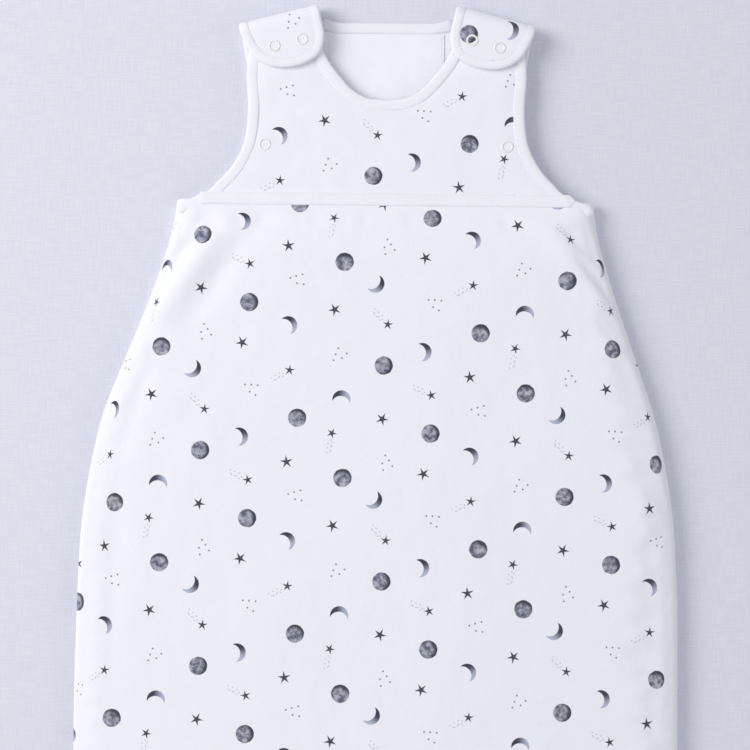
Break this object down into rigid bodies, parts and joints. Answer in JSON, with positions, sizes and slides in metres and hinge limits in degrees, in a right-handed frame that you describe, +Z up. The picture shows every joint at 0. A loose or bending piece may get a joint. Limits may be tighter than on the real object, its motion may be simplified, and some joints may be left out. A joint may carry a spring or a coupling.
{
  "type": "baby sleeping bag",
  "caption": "Sleeveless padded baby sleeping bag in printed jersey, with bound neck and armholes, snap-closed shoulder tabs and a wrap-around zip that lets the front fold open.",
  "frame": {"origin": "middle of the lying bag's bounding box, on the surface it lies on", "axes": "+X across the bag to its closed side seam, +Y to the head end, +Z up out of the front"},
  "size_m": [0.49, 0.95, 0.0209],
  "materials": {
    "shell_jersey": "soft cotton jersey, printed with small moons and stars",
    "wadding": "polyester wadding",
    "lining_jersey": "plain soft jersey",
    "binding": "folded jersey binding, stitched",
    "snap_enamel": "cream enamel",
    "zip_tape": "woven polyester tape",
    "zip_plastic": "moulded white plastic",
    "zip_metal": "white painted zinc"
  },
  "bodies": {
    "bag": {"back_lining": "lining_jersey", "back_neck_binding": "binding", "back_neck_facing": "lining_jersey", "back_shell": "shell_jersey", "back_wadding": "wadding", "front_neck_binding": "binding", "front_skirt_lining": "lining_jersey", "front_skirt_shell": "shell_jersey", "front_skirt_side_wadding": "wadding", "front_skirt_wadding": "wadding", "front_yoke_lining": "lining_jersey", "front_yoke_shell": "shell_jersey", "front_yoke_wadding": "wadding", "left_back_armhole_binding": "binding", "left_front_armhole_binding": "binding", "left_shoulder_roll": "shell_jersey", "left_strap_snap_rings": "snap_enamel", "left_strap_snap_studs": "snap_enamel", "right_back_armhole_binding": "binding", "right_front_armhole_binding": "binding", "right_shoulder_roll": "shell_jersey", "right_strap_snap_rings": "snap_enamel", "right_strap_snap_studs": "snap_enamel", "side_snap_back_rings": "snap_enamel", "side_snap_front_rings": "snap_enamel", "side_snap_sockets": "snap_enamel", "side_snap_studs": "snap_enamel", "waist_band": "binding", "zip_bottom_stop": "zip_plastic", "zip_tape_back": "zip_tape", "zip_tape_hem_end": "zip_tape", "zip_teeth_back": "zip_plastic", "zip_teeth_hem_end": "zip_plastic", "zip_top_stops": "zip_plastic"},
    "flap": {"front_flap_lining": "lining_jersey", "front_flap_shell": "shell_jersey", "front_flap_side_wadding": "wadding", "front_flap_wadding": "wadding", "zip_tape_flap": "zip_tape", "zip_teeth_flap": "zip_plastic"},
    "slider": {"zip_slider": "zip_metal"},
    "puller": {"zip_puller": "zip_metal"},
    "left_tab": {"left_tab_binding": "binding", "left_tab_lining": "lining_jersey", "left_tab_shell": "shell_jersey", "left_tab_snap_rings": "snap_enamel", "left_tab_snap_sockets": "snap_enamel", "left_tab_wadding": "wadding"},
    "right_tab": {"right_tab_binding": "binding", "right_tab_lining": "lining_jersey", "right_tab_shell": "shell_jersey", "right_tab_snap_rings": "snap_enamel", "right_tab_snap_sockets": "snap_enamel", "right_tab_wadding": "wadding"}
  },
  "joints": [
    {"name": "left_tab_hinge", "type": "hinge", "parent": "bag", "child": "left_tab", "pos_m": [-0.08693, 0.45693, 0.01], "axis": [-0.9681, -0.2504, 0], "range_deg": [0, 170], "deforming": ["left_shoulder_roll"]},
    {"name": "right_tab_hinge", "type": "hinge", "parent": "bag", "child": "right_tab", "pos_m": [0.08693, 0.45693, 0.01], "axis": [-0.9681, 0.2504, 0], "range_deg": [0, 170], "deforming": ["right_shoulder_roll"]},
    {"name": "zip_slide", "type": "slide", "parent": "bag", "child": "slider", "axis": [-1, 0, 0], "range_m": [0, 0.298]},
    {"name": "puller_hinge", "type": "hinge", "parent": "slider", "child": "puller", "pos_m": [0.149, -0.4737, 0.0083], "axis": [0, 0, -1], "range_deg": [0, 150]},
    {"name": "flap_hinge", "type": "hinge", "parent": "bag", "child": "flap", "pos_m": [-0.175, 0.3, 0.0211], "axis": [-0.3553, 0.9348, 0], "range_deg": [0, 150]}
  ]
}
